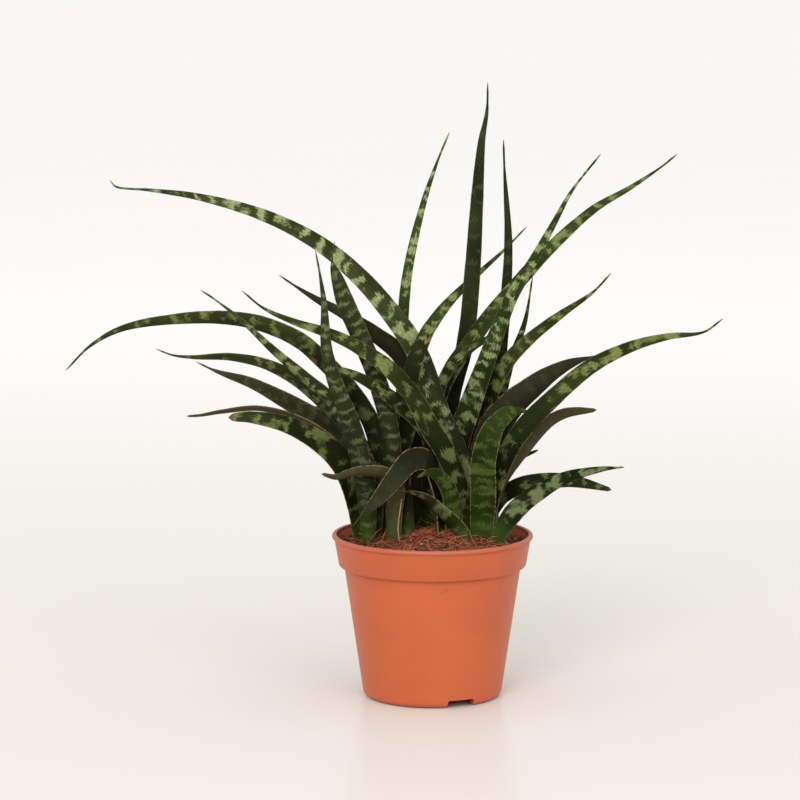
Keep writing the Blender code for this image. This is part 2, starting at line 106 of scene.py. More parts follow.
LEAVES = (
    # Left tuft.
    Leaf("leaf_long_left_arch", "mottled", 64, 12.3, (
        (-32, 2, 90.5), (-31.5, 4, 129.5), (-39.8, 6, 167.5), (-73.9, 10, 207.2), (-99, 15, 220),
        (-126, 20, 224.4), (-161, 28, 222), (-187, 32, 216.5), (-206, 34, 206),
        (-221, 35, 191)), 1.8, marks=((0.27, 0.1, 9, 0.7, 0.9),),
        scars=((0.42, 0.6, 5, 0.3, 1.0),)),
    Leaf("leaf_spotted_left", "spotted", 60, 12.0, (
        (-41, -8, 90.5), (-40, -9, 118.5), (-41.5, -12, 142.5), (-59, -13, 176.9), (-75, -14, 192.4),
        (-92.3, -18, 208.2), (-113, -26, 229.3), (-128, -32, 242), (-135, -35, 247)), 1.3,
        marks=((0.33, -0.2, 10, 0.8, 1.0), (0.40, -0.3, 7, 0.7, 0.8))),
    Leaf("leaf_scarred_left", "mottled", 42, 16.5, (
        (-35.5, -2, 90.5), (-36.5, -2.5, 123.5), (-51, -1.5, 158.5), (-76, -2, 185),
        (-97, -3, 198),
        (-119, -4, 203.5), (-141, -6, 204), (-153, -8, 205.5), (-163, -10, 209.5)), 1.9, 0.5,
        scars=((0.62, 0.5, 4, 0.3, 1.0),)),
    Leaf("leaf_dull_left", "dull", 60, 16.8, (
        (-40, 11, 90.5), (-42, 12, 126.5), (-52, 12, 151.5), (-70, 11, 164.3), (-91, 12, 176.7),
        (-109, 17, 185.5), (-129, 24, 191.5), (-142, 28, 197)), 1.9),
    Leaf("leaf_brown_left", "olive", 80, 12.0, (
        (-32, 12, 90.5), (-35, 15, 123.5), (-47, 16, 153.5), (-61, 17, 167.5), (-72, 19, 169.5),
        (-84, 21, 167.5)), 2.5),
    Leaf("leaf_dry_tipped_left", "olive", 30, 10.0, (
        (-44, 8, 90.5), (-46, 6, 123.5), (-58, 4, 149.5), (-79, 3, 165), (-103, 5, 171.5),
        (-126, 9, 169.2), (-138, 12, 166.8), (-147, 15, 165.8)), 2.6, blunt=0.3),
    Leaf("leaf_broad_low_left", "mottled", 300, 16.0, (
        (-44, -2, 90.5), (-45.3, -3.6, 113.5), (-51.3, -5.5, 135), (-62.5, -5, 149.3),
        (-84, -5, 162.5),
        (-107, -5, 168), (-121, -5, 168)), 1.6, 0.5, blunt=0.35,
        scars=((0.99, 0.0, 5, 1.2, 1.0),)),
    Leaf("leaf_zigzag_middle", "zigzag", 80, 11.5, (
        (-24, -13, 90.5), (-24, -11, 128.5), (-25.6, -9, 160.5), (-33.4, -6, 191.5),
        (-43.4, -8, 217.5),
        (-51.3, -12, 236.5), (-56, -16, 251.5), (-59, -19, 262.5),
        (-57.5, -22, 274)), 10.0, needle=14),
    Leaf("leaf_zigzag_left", "zigzag", 75, 13.0, (
        (-38, -14, 90.5), (-40, -16, 123.5), (-46, -19, 156.5), (-52.5, -21, 177), (-57, -22, 189),
        (-62.4, -23, 210), (-63.8, -25, 238), (-66, -26, 255), (-68.5, -27, 269)), 1.4),
    Leaf("leaf_crossing_right", "mottled", 250, 11.5, (
        (-18, -1, 90.5), (-22, 1, 133.5), (-14, 3, 163.5), (-11.5, 6, 195.5), (-7, 8, 208),
        (-2.5, 14, 217.3), (10.1, 33, 232.2), (28, 49, 248), (42.5, 53, 260.9), (57.4, 56, 276)),
        marks=((0.72, 0.0, 10, 0.7, 0.8), (0.63, 0.0, 9, 0.7, 0.8)),
        scars=((0.55, 0.8, 4, 0.25, 1.0),)),
    Leaf("leaf_small_olive", "olive", 80, 10.0, (
        (-23, -20, 90.5), (-23, -20, 113.5), (-22, -21, 128), (-28, -24, 137), (-40, -25, 139),
        (-48, -25, 138), (-57, -25, 135.5), (-65.5, -25, 137.5)), 2.2, blunt=0.3),
    Leaf("leaf_young_inner_left", "mottled", 80, 8.0, (
        (-16, -9, 90.5), (-15, -9, 108.5), (-14, -8, 123.5), (-13, -7, 136.5)), 1.5),

    # Middle tuft, behind the other two.
    Leaf("leaf_slim_upright_left", "spotted", 275, 7.4, (
        (-14, 29, 90.5), (-17.5, 31, 149), (-18.4, 33, 204), (-16.4, 34, 239), (-12.5, 36, 263),
        (-4.5, 44, 294), (3.6, 52, 317), (10.4, 57, 333)), 2.5),
    Leaf("leaf_tallest_dark", "dark", 260, 10.5, (
        (9, 29, 90.5), (11, 31, 134), (12, 33, 174), (20.4, 34, 209), (24.6, 37, 254),
        (26.6, 40, 287), (29.6, 47, 327), (32.9, 50, 346), (33.4, 53, 363)), 3.0),
    Leaf("leaf_right_sweep", "mottled", 235, 11.5, (
        (-2, 22, 90.5), (-2, 24.5, 139), (8, 25, 183.5), (30.9, 25, 219.2), (44.7, 26, 236.3),
        (69.3, 30, 263.5), (96.5, 40, 287.3), (119.5, 50, 300), (138, 58, 311.5), (149, 65, 319.5)),
        2.0),
    Leaf("leaf_plain_dark_left", "dark", 82, 14.0, (
        (-11, 17, 90.5), (-11.5, 19, 138.5), (-10, 21.5, 184), (-19, 22, 201.5), (-34, 22, 214),
        (-52, 22, 226), (-69, 24, 235), (-84, 32, 243.5), (-92, 36, 248.5)), 1.8),
    Leaf("leaf_behind_spotted", "mottled", 240, 11.0, (
        (3, 13, 90.5), (-1, 16, 133.5), (2, 18, 170.5), (10, 18, 193.5), (24, 17, 206.8),
        (35.5, 16, 215.1), (49, 15, 241.5)), 1.3),

    # Right tuft.
    Leaf("leaf_broad_top_left", "banded", 300, 15.4, (
        (25, -1, 90.5), (21.5, 1, 122.5), (13.4, 4, 146.5), (2, 9, 170.5), (-10.4, 16, 203.9),
        (-23.6, 16, 224.8), (-43, 14, 248.3), (-68, 5, 270.5), (-100, -10, 288.5),
        (-135, -25, 300), (-163, -40, 305.4), (-177, -49, 307.1), (-182, -53, 308.5),
        (-185, -55, 312)), 1.28,
        marks=((0.38, 0.0, 13, 1.0, 1.0), (0.10, 0.3, 30, 0.5, 0.7))),
    Leaf("leaf_long_under_left", "mottled", 300, 13.6, (
        (19.2, -7, 90.5), (15, -8, 124.5), (7, -10, 146.5), (-2, -12, 161.5), (-11.6, -13, 180),
        (-25.6, -14, 197.5), (-43, -14, 210), (-60, -15, 218.7), (-82, -18, 226.7),
        (-99, -26, 235.5),
        (-111, -34, 246.5)), 1.4,
        marks=((0.55, 0.1, 9, 0.7, 0.9), (0.49, 0.1, 7, 0.6, 0.7))),
    Leaf("leaf_blunt_left", "mottled", 300, 11.0, (
        (10, -2, 90.5), (5, -5, 128.5), (-4, -7, 159.5), (-12, -8, 169.5), (-19, -9, 175.5),
        (-34, -12, 187.5), (-51, -14, 196.5), (-60, -15, 198.5)), 3.0, blunt=0.3,
        marks=((0.90, -0.3, 7, 0.6, 0.7), (0.80, 0.0, 7, 0.6, 0.7), (0.62, 0.0, 8, 0.6, 0.9))),
    Leaf("leaf_spotted_right", "spotted", 255, 14.0, (
        (15, 12, 90.5), (14, 13, 128.5), (17, 12, 153.5), (24, 9, 176.5), (31.3, 6, 197.5),
        (38.4, 5, 217.5), (46.8, 5, 238.5), (60.5, 3, 262.5), (71.6, 0, 283.5), (81.4, -6, 302.5),
        (97.5, -14, 324.5)), 1.0),
    Leaf("leaf_slim_upright_right", "dark", 265, 8.0, (
        (26, 22, 90.5), (30.5, 26, 139), (40.5, 31, 197), (44.6, 33, 241), (45.6, 35, 271),
        (43.4, 43, 311), (42.9, 50, 329)), 2.2),
    Leaf("leaf_speckled_needle", "spotted", 250, 8.5, (
        (33.5, 15, 90.5), (35.5, 16, 138.5), (40, 18, 170.5), (45.5, 18, 194.5), (49.5, 18, 205.5),
        (55.5, 18, 223.5), (59.6, 18, 249.5)), 1.8),
    Leaf("leaf_right_needle", "mottled", 240, 12.5, (
        (25.5, 17, 90.5), (26, 17, 129), (30, 16.5, 158.5), (35.7, 14.6, 180), (44.9, 10, 199.1),
        (58.6, 8, 213.9), (76.3, 4, 228.5), (94, -6, 242.5), (104.3, -12, 254.5)), 1.5,
        marks=((0.54, 0.0, 8, 0.8, 1.0),)),
    Leaf("leaf_low_right_arch", "mottled", 250, 12.0, (
        (33, -4, 90.5), (34.5, -5, 116.5), (42.7, -5, 142.5), (53.9, -6, 161.2), (72.3, -5, 180.3),
        (93.7, -6, 198.7), (116.5, -12, 211.1), (137.5, -23, 218.5), (157, -32, 222.1),
        (168, -36, 230.5)), 1.7, 0.7,
        marks=((0.50, 0.2, 8, 0.6, 0.7), (0.59, 0.1, 9, 0.7, 0.9), (0.67, 0.1, 9, 0.8, 0.9))),
    Leaf("leaf_dark_right", "dark", 96, 21.5, (
        (32, 9, 90.5), (31.5, 9, 128.5), (37, 9, 158.5), (47, 9, 173), (58, 10, 182.5),
        (68.5, 12, 190.3), (79.5, 17, 196), (90, 22, 199.3), (101, 27, 201.4)), 1.8, 0.48),
    Leaf("leaf_brown_right", "olive", 130, 12.5, (
        (35.5, 2.5, 90.5), (35.5, 2, 108.5), (40.5, 2, 126), (50.5, 2, 141.5), (68.1, 4, 162.3),
        (79.3, 6, 168.6),
        (98, 12, 170)), 3.2, blunt=0.3),
    Leaf("leaf_short_dark_right", "dark", 200, 8.0, (
        (38, 24, 90.5), (40, 22, 118.5), (44, 17, 132.5), (53, 14, 140.5),
        (63.5, 13, 145.8)), blunt=0.3),
    Leaf("leaf_low_right_back", "mottled", 240, 10.5, (
        (33, 21, 90.5), (35, 19.5, 103.5), (39, 17.3, 112.5), (44, 14.5, 119), (53, 11, 124.3),
        (65, 11, 127.1),
        (84, 16, 126.3), (108, 22, 120)), 2.3, blunt=0.3),
    Leaf("leaf_low_right_front", "spotted", 240, 12.5, (
        (36, -16, 89.5), (39.4, -16, 98), (44.6, -15, 106.9), (51.8, -14, 115.5), (61, -14, 123),
        (78.3, -17, 133.5), (98, -25, 140.1), (112, -30, 142.3)), 1.3, blunt=0.1,
        marks=((0.40, 0.1, 6, 0.7, 0.9), (0.55, -0.2, 6, 0.6, 0.8))),
    Leaf("leaf_curled_top", "cross_striped", 265, 15.5, (
        (29, -10, 90.5), (30, -13, 125.5), (30, -14, 143.5), (35, -13, 161.5), (42, -10, 169.5),
        (49, -2, 171.5), (57, 3, 170.5)), 3.0, 0.78, blunt=0.2,
        marks=((0.34, 0.0, 5, 1.2, 0.7), (0.45, 0.0, 4, 1.2, 0.7))),
    Leaf("leaf_front_bow", "mottled", 60, 11.5, (
        (22, -17, 88.5), (19, -19.3, 95.5), (13, -22.5, 105.5), (4, -24.5, 115), (-4, -26, 123),
        (-14, -27, 127), (-22, -28, 127)), 2.0, 0.8,
        marks=((0.80, -0.3, 7, 0.6, 0.7),)),
    Leaf("leaf_striped_front", "cross_striped", 300, 12.0, (
        (10.6, -12.5, 90.5), (11.3, -14.3, 110.5), (9, -15.5, 125.5), (3.5, -20, 135),
        (-2.5, -25.2, 138.5), (-9.5, -29, 136)), 2.5, 0.7, blunt=0.2),
    Leaf("leaf_drooping_front", "bronze", 335, 14.5, (
        (3.5, -12, 90.5), (2.7, -12.6, 116.5), (-1.3, -15.2, 134.5), (-5.4, -19.6, 144.5),
        (-14, -26, 145),
        (-22, -32, 137), (-31, -35, 126), (-41, -36, 115), (-47, -37, 108.5)), 3.2),

    # Low arches at the back.
    Leaf("leaf_back_left", "mottled", 290, 13.0, (
        (-22, 30, 90.5), (-24, 42, 134), (-31, 62, 147.5), (-38, 85, 139.5), (-44, 100, 127.5))),
    Leaf("leaf_back_middle_left", "spotted", 275, 12.5, (
        (-1, 36, 90.5), (-3, 50, 139), (-5, 75, 149.5), (-8, 105, 135), (-10, 125, 108.5))),
    Leaf("leaf_back_middle_right", "mottled", 265, 12.0, (
        (12, 38, 90.5), (14, 52, 137), (18, 75, 149.5), (22, 100, 145.5), (26, 120, 135))),
    Leaf("leaf_back_right", "mottled", 255, 11.5, (
        (27, 30, 90.5), (29, 42, 131), (33, 62, 145.5), (35, 85, 141.5), (36, 100, 129.5))),
)


# ---------------------------------------------------------------- shader building

class Value:
    """A number that varies over a surface; arithmetic on it adds Math nodes."""

    def __init__(self, finish, socket):
        self.finish = finish
        self.socket = socket

    def math(self, operation, first, second):
        return self.finish.node("ShaderNodeMath", {"operation": operation}, {0: first, 1: second})

    def __add__(self, other):
        return self.math("ADD", self, other)

    __radd__ = __add__

    def __sub__(self, other):
        return self.math("SUBTRACT", self, other)

    def __rsub__(self, other):
        return self.math("SUBTRACT", other, self)

    def __mul__(self, other):
        return self.math("MULTIPLY", self, other)

    __rmul__ = __mul__


class Finish:
    """One material and the nodes that vary its shader."""

    def __init__(self, name, roughness=0.5, specular=0.5):
        self.material = bpy.data.materials.new(name)
        self.material.use_nodes = True
        self.tree = self.material.node_tree
        self.shader = self.tree.nodes["Principled BSDF"]
        self.shader.inputs["Roughness"].default_value = roughness
        self.shader.inputs["Specular IOR Level"].default_value = specular

    def node(self, kind, settings=None, sockets=None, output=0):
        """A node of any kind; its settings, or a ramp's stops, are set before its sockets."""
        node = self.tree.nodes.new(kind)
        for name, value in (settings or {}).items():
            if name == "stops":
                ramp = node.color_ramp.elements
                while len(ramp) < len(value):
                    ramp.new(0.5)
                for stop, (place, colour) in zip(ramp, value):
                    stop.position = place
                    stop.color = (*colour, 1.0)
            else:
                setattr(node, name, value)
        for name, value in (sockets or {}).items():
            if isinstance(value, Value):
                self.tree.links.new(value.socket, node.inputs[name])
            elif isinstance(value, tuple) and len(value) == 3 and node.inputs[name].type == "RGBA":
                node.inputs[name].default_value = (*value, 1.0)
            else:
                node.inputs[name].default_value = value
        return Value(self, node.outputs[output])

    def feed(self, name, value):
        self.tree.links.new(value.socket, self.shader.inputs[name])

    def attribute(self, name, output=2):
        return self.node("ShaderNodeAttribute", {"attribute_name": name}, output=output)

    def split(self, vector):
        return [self.node("ShaderNodeSeparateXYZ", sockets={0: vector}, output=axis)
                for axis in range(3)]

    def join(self, x, y, z):
        return self.node("ShaderNodeCombineXYZ", sockets={0: x, 1: y, 2: z})

    def noise(self, vector, scale, detail=2.0, roughness=0.5):
        return self.node("ShaderNodeTexNoise", {"noise_dimensions": "3D"},
                         {"Vector": vector, "Scale": scale, "Detail": detail,
                          "Roughness": roughness})

    def between(self, value, low, high):
        """0 below low, 1 above high and a smooth step between; high may be under low."""
        return self.node("ShaderNodeMapRange", {"interpolation_type": "SMOOTHSTEP"},
                         {"Value": value, "From Min": low, "From Max": high})

    def mix(self, factor, first, second):
        return self.node("ShaderNodeMix", {"data_type": "RGBA", "clamp_factor": True},
                         {0: factor, 6: first, 7: second}, output=2)

    def largest(self, first, second):
        return self.node("ShaderNodeMath", {"operation": "MAXIMUM"}, {0: first, 1: second})

    def bump(self, height, distance, strength=1.0):
        self.feed("Normal", self.node("ShaderNodeBump", sockets={
            "Height": height, "Distance": distance, "Strength": strength}))


# ---------------------------------------------------------------- leaf skins

@dataclass
class Skin:
    """Colours and banding of one kind of leaf; period is the distance between bands in mm."""
    ground: tuple
    light: tuple
    under: tuple
    period: float
    cover: float              # how much of the blade is light, around 0
    jag: float                # length in mm of the streaks at a band's edges
    plain_under: float        # how far the underside hides the bands
    rim: float                # how strongly the dry margin shows
    strength: float = 1.0
    waves: float = 0.0        # how regular the bands are, from 0 to 1


DEEP_GREEN = (0.0175, 0.0235, 0.0050)
SKINS = {
    "banded": Skin(
        ground=(0.0230, 0.0290, 0.0085), light=(0.31, 0.355, 0.155), under=(0.030, 0.036, 0.011),
        period=11.0, cover=0.02, jag=4.0, plain_under=0.35, rim=0.35),
    "spotted": Skin(
        ground=(0.0175, 0.0250, 0.0055), light=(0.27, 0.32, 0.130), under=(0.028, 0.036, 0.011),
        period=8.0, cover=0.03, jag=3.5, plain_under=0.4, rim=0.35),
    "mottled": Skin(
        ground=DEEP_GREEN, light=(0.190, 0.225, 0.072), under=(0.027, 0.030, 0.010),
        period=10.0, cover=0.0, jag=4.0, plain_under=0.4, rim=0.45),
    "dark": Skin(
        ground=(0.0115, 0.0150, 0.0042), light=(0.050, 0.060, 0.020), under=(0.024, 0.024, 0.011),
        period=9.0, cover=-0.03, jag=3.5, plain_under=0.8, rim=0.5, strength=0.8),
    "dull": Skin(
        ground=(0.0230, 0.0280, 0.0090), light=(0.100, 0.110, 0.045), under=(0.040, 0.040, 0.018),
        period=9.0, cover=0.0, jag=4.0, plain_under=0.5, rim=0.5, strength=0.9),
    "olive": Skin(
        ground=(0.027, 0.029, 0.010), light=(0.085, 0.088, 0.034), under=(0.055, 0.049, 0.022),
        period=7.0, cover=-0.01, jag=3.0, plain_under=0.85, rim=0.7, strength=0.7),
    "bronze": Skin(
        ground=(0.027, 0.031, 0.013), light=(0.075, 0.076, 0.034), under=(0.052, 0.050, 0.022),
        period=8.0, cover=-0.02, jag=2.5, plain_under=0.6, rim=0.9, strength=0.5),
    "zigzag": Skin(
        ground=(0.0190, 0.0235, 0.0075), light=(0.200, 0.225, 0.095), under=(0.028, 0.032, 0.012),
        period=6.5, cover=0.02, jag=2.0, plain_under=0.4, rim=0.35, strength=0.9, waves=0.6),
    "cross_striped": Skin(
        ground=(0.028, 0.046, 0.0070), light=(0.125, 0.175, 0.032), under=(0.036, 0.046, 0.010),
        period=6.5, cover=0.02, jag=3.0, plain_under=0.5, rim=0.6, strength=0.9, waves=0.35),
}


def leaf_finish(name, skin):
    finish = Finish("leaf_" + name, roughness=0.45, specular=0.03)
    place = finish.attribute("blade_place", output=1)
    across, along, seed = finish.split(place)
    margin = finish.attribute("margin")
    underside = finish.attribute("underside")
    tipward = finish.attribute("tipward")

    streaks = finish.noise(finish.join(across * 1.5, along * 0.10, seed), 1.0, 2.0)
    wander = finish.noise(finish.join(across * 0.16, along * 0.13, seed + 5.0), 1.0, 1.0)
    shifted = along + (streaks - 0.5) * (2 * skin.jag) + (wander - 0.5) * 7.0
    bands = finish.noise(finish.join(across * 0.09, shifted * (1.6 / skin.period), seed),
                         1.0, 1.0)
    if skin.waves:
        ripple = finish.node("ShaderNodeMath", {"operation": "SINE"},
                             {0: shifted * (2 * pi / skin.period)})
        bands = bands * (1 - skin.waves) + (ripple * 0.12 + 0.5) * skin.waves
    flecks = finish.noise(finish.join(across * 1.1, along * 0.5, seed + 9.0), 1.0, 3.0, 0.65)
    level = bands + (flecks - 0.5) * 0.16 + skin.cover
    level = level + (finish.attribute("light_mark") - 0.5 * margin) * 0.14
    light = finish.between(level, 0.48, 0.63) * skin.strength

    tint = finish.noise(finish.join(across * 0.05, along * 0.03, seed + 3.0), 1.0, 2.0)
    ground = finish.mix(finish.between(tint, 0.35, 0.65), skin.ground,
                        tuple(1.9 * part for part in skin.ground))
    pale = finish.mix(finish.between(flecks, 0.35, 0.65), tuple(0.62 * p for p in skin.light),
                      skin.light)
    # Painted shade: each blade is darkened from 170 mm down to 50 mm from its root, deep inside the
    # crowded tuft.
    painted_base_shade = finish.between(along, 170.0, 50.0)
    ground = finish.mix(painted_base_shade * 0.75, ground, tuple(0.15 * part for part in skin.ground))
    pale = finish.mix(painted_base_shade * 0.75, pale, tuple(0.3 * part for part in skin.light))
    colour = finish.mix(light, ground, pale)
    under = finish.mix(light * 0.35, skin.under, skin.light)
    colour = finish.mix(underside * skin.plain_under, colour, under)

    root_glow = finish.between(along, 26.0, 6.0) * 0.55
    colour = finish.mix(root_glow, colour, (0.050, 0.095, 0.012))
    rim_noise = finish.noise(finish.join(0.0, along * 0.35, seed + 1.0), 1.0, 3.0)
    rim = finish.between(margin, 0.90, 0.97) * finish.between(rim_noise, 0.36, 0.56)
    colour = finish.mix(rim * skin.rim, colour, (0.24, 0.18, 0.085))
    scar = finish.attribute("scar") + (flecks - 0.5) * 0.6
    colour = finish.mix(finish.between(scar, 0.50, 0.75) * 0.85, colour, (0.20, 0.085, 0.050))
    colour = finish.mix(finish.between(tipward, 0.0, 1.0) * 0.8, colour, (0.075, 0.060, 0.040))
    finish.feed("Base Color", colour)
    finish.feed("Roughness", 0.38 + flecks * 0.16 + light * 0.06)
    grooves = finish.noise(finish.join(across * 2.4, along * 0.05, seed), 1.0, 2.0)
    pits = finish.noise(place, 0.55, 2.0)
    finish.bump(grooves * 0.5 + pits * 0.5, 0.00022, 0.6)
    return finish.material


# ---------------------------------------------------------------- leaf blades

def route_point(points, lengths, distance):
    """A point on the smooth curve through the points, at a distance along their chain."""
    index = 0
    while index < len(lengths) - 2 and distance > lengths[index + 1]:
        index += 1
    before, after = max(index - 1, 0), min(index + 2, len(points) - 1)
    span = lengths[index + 1] - lengths[index]
    start_slope = (points[index + 1] - points[before]) / (lengths[index + 1] - lengths[before])
    end_slope = (points[after] - points[index]) / (lengths[after] - lengths[index])
    u = (distance - lengths[index]) / span
    return (points[index] * (2 * u**3 - 3 * u**2 + 1) + start_slope * span * (u**3 - 2 * u**2 + u)
            + points[index + 1] * (3 * u**2 - 2 * u**3) + end_slope * span * (u**3 - u**2))


def leaf_width(leaf, share, length):
    """Width in mm: narrow root, widest near a third, then a taper that ends in a needle."""
    if share < WIDEST_AT:
        rise = sin(share / WIDEST_AT * pi / 2)
        return leaf.width * (leaf.root_share + (1 - leaf.root_share) * rise)
    from_tip = (1 - share) * length
    fall = (share - WIDEST_AT) / (1 - WIDEST_AT - 0.8 * leaf.needle / length)
    width = leaf.width * (1 - (1 - leaf.blunt) * min(1.0, fall) ** leaf.fullness)
    if leaf.blunt:
        rounded = min(1.0, from_tip / (0.6 * leaf.width * leaf.blunt + 2.0))
        width *= sqrt(1 - (1 - rounded) ** 2)
    return max(width, NEEDLE_WIDTH + 0.9 * min(from_tip, leaf.needle) / leaf.needle)


def mark_strength(marks, share, length, across):
    """How strongly the nearest mark covers a spot of the blade, from 0 to 1."""
    strongest = 0.0
    for mark_share, mark_across, mark_length, mark_width, strength in marks:
        off_along = (share - mark_share) * length / mark_length
        off_across = (across - mark_across) / (2 * mark_width)
        near = 1 - 2 * sqrt(off_along**2 + off_across**2)
        strongest = max(strongest, strength * min(1.0, 2.5 * max(0.0, near + 0.35)))
    return min(strongest, 1.0)


def make_leaf(leaf, number, material):
    points = [Vector(point) for point in leaf.route]
    lengths = [0.0]
    for first, second in zip(points, points[1:]):
        lengths.append(lengths[-1] + (second - first).length)
    length = lengths[-1]
    count = max(12, round(length / RING_SPACING))
    inner = Vector((cos(radians(leaf.faces)), sin(radians(leaf.faces)), 0.0))
    size = 2 * STATIONS
    bm = bmesh.new()
    place = bm.verts.layers.float_vector.new("blade_place")
    layers = {name: bm.verts.layers.float.new(name)
              for name in ("margin", "underside", "tipward", "light_mark", "scar")}
    rings = []
    for index in range(count + 1):
        share = index / count
        here = route_point(points, lengths, share * length)
        ahead = route_point(points, lengths, min(share + 0.01, 1.0) * length)
        behind = route_point(points, lengths, max(share - 0.01, 0.0) * length)
        along = (ahead - behind).normalized()
        inner = (inner - along * inner.dot(along)).normalized()
        side = along.cross(inner)
        from_tip = (1 - share) * length
        half_width = leaf_width(leaf, share, length) / 2
        wave = noise.noise(Vector((share * length * 0.07, number * 3.7, 0.0)))
        ripple = noise.noise(Vector((share * length * 0.3, number * 5.1, 7.0)))
        half_width *= 1 + 0.05 * wave + 0.02 * ripple
        thickness = min(ROOT_THICKNESS + (TIP_THICKNESS - ROOT_THICKNESS) * share, 1.6 * half_width)
        channel = half_width * (0.45 - 0.35 * share)
        ring = []
        for corner in range(size):
            angle = pi * corner / STATIONS
            station = -cos(angle)
            face = sin(angle)
            lift = channel * station**2 + face * thickness / 2
            vert = bm.verts.new((here + side * (station * half_width) + inner * lift) * MM)
            vert[place] = (station * half_width, share * length, number * 17.3)
            vert[layers["margin"]] = abs(station)
            vert[layers["underside"]] = 0.5 - 0.5 * max(-1.0, min(1.0, 6 * face))
            vert[layers["tipward"]] = max(0.0, 1 - from_tip / leaf.needle)
            vert[layers["light_mark"]] = mark_strength(leaf.marks, share, length, station)
            vert[layers["scar"]] = mark_strength(leaf.scars, share, length, station)
            ring.append(vert)
        rings.append(ring)
    for lower, upper in zip(rings, rings[1:]):
        for corner in range(size):
            following = (corner + 1) % size
            bm.faces.new((lower[corner], lower[following], upper[following], upper[corner]))
    bm.faces.new(rings[0][::-1])
    bm.faces.new(rings[-1])
    bmesh.ops.recalc_face_normals(bm, faces=bm.faces)
    piece = add_piece("blade_" + leaf.name[5:], bm, material)
    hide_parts(leaf.name)
    return piece


# ---------------------------------------------------------------- pieces

def add_piece(name, bm, material):
    mesh = bpy.data.meshes.new(name)
    bm.to_mesh(mesh)
    bm.free()
    mesh.shade_smooth()
    mesh.materials.append(material)
    piece = bpy.data.objects.new(name, mesh)
    bpy.context.scene.collection.objects.link(piece)
    return piece


def turned(bm, profile, steps):
    """Turns a closed (radius, z) outline in mm about the Z axis."""
    rings = []
    for step in range(steps):
        angle = 2 * pi * step / steps
        rings.append([bm.verts.new(Vector((r * cos(angle), r * sin(angle), z)) * MM)
                      for r, z in profile])
    for step in range(steps):
        this, following = rings[step], rings[(step + 1) % steps]
        for index in range(len(profile)):
            after = (index + 1) % len(profile)
            bm.faces.new((this[index], following[index], following[after], this[after]))
    bmesh.ops.remove_doubles(bm, verts=bm.verts, dist=0.01 * MM)
    bmesh.ops.dissolve_degenerate(bm, edges=bm.edges, dist=0.001 * MM)
    bmesh.ops.recalc_face_normals(bm, faces=bm.faces)


def arc(centre, radius, start, end, steps):
    angles = [radians(start + (end - start) * step / steps) for step in range(steps + 1)]
    return [(centre[0] + radius * cos(a), centre[1] + radius * sin(a)) for a in angles]


def body_radius(z):
    return BASE_RADIUS + (BODY_TOP_RADIUS - BASE_RADIUS) * z / BODY_TOP_Z


def pot_outline():
    """The wall's section: rolled lip, band, step, body, foot, floor and the inside."""
    lip = 1.5
    outline = arc((LIP_RADIUS - lip, POT_HEIGHT - lip), lip, 100, -75, 12)
    outline += arc((BAND_TOP_RADIUS + 0.5, POT_HEIGHT - 2 * lip - 0.7), 0.5, 90, 180, 4)
    outline += [(BAND_BOTTOM_RADIUS + 0.1, BAND_BOTTOM_Z + 0.9)]
    outline += arc((BAND_BOTTOM_RADIUS - 0.8, BAND_BOTTOM_Z + 0.7), 0.8, 0, -80, 4)
    outline += arc((BODY_TOP_RADIUS + 0.5, BODY_TOP_Z - 0.1), 0.5, 110, 180, 3)
    foot = 4.0
    for z in (60.0, 40.0, 20.0, 2 * foot):
        outline.append((body_radius(z), z))
    corner = (body_radius(foot) - foot, foot)
    outline += arc(corner, foot, 0, -84, 8)
    inner_foot = corner[0] - WALL
    outline += [(inner_foot + 0.3, 0.0), (inner_foot, 0.3), (inner_foot, 4.6), (inner_foot - 0.4, 4.8),
                (8.4, 4.8), (8.0, 4.4), (8.0, 0.3), (7.7, 0.0), (0.0, 0.0), (0.0, 6.2)]
    outline += [(body_radius(6.2) - WALL - 0.8, 6.2), (body_radius(7.0) - WALL, 7.0),
                (BODY_TOP_RADIUS - WALL, BODY_TOP_Z),
                (BAND_BOTTOM_RADIUS - WALL, BAND_BOTTOM_Z + 1.4),
                (BAND_TOP_RADIUS - WALL, POT_HEIGHT - 3.2),
                (BAND_TOP_RADIUS - WALL + 0.5, POT_HEIGHT - 1.6),
                (LIP_RADIUS - 2.6, POT_HEIGHT - 0.4)]
    return outline


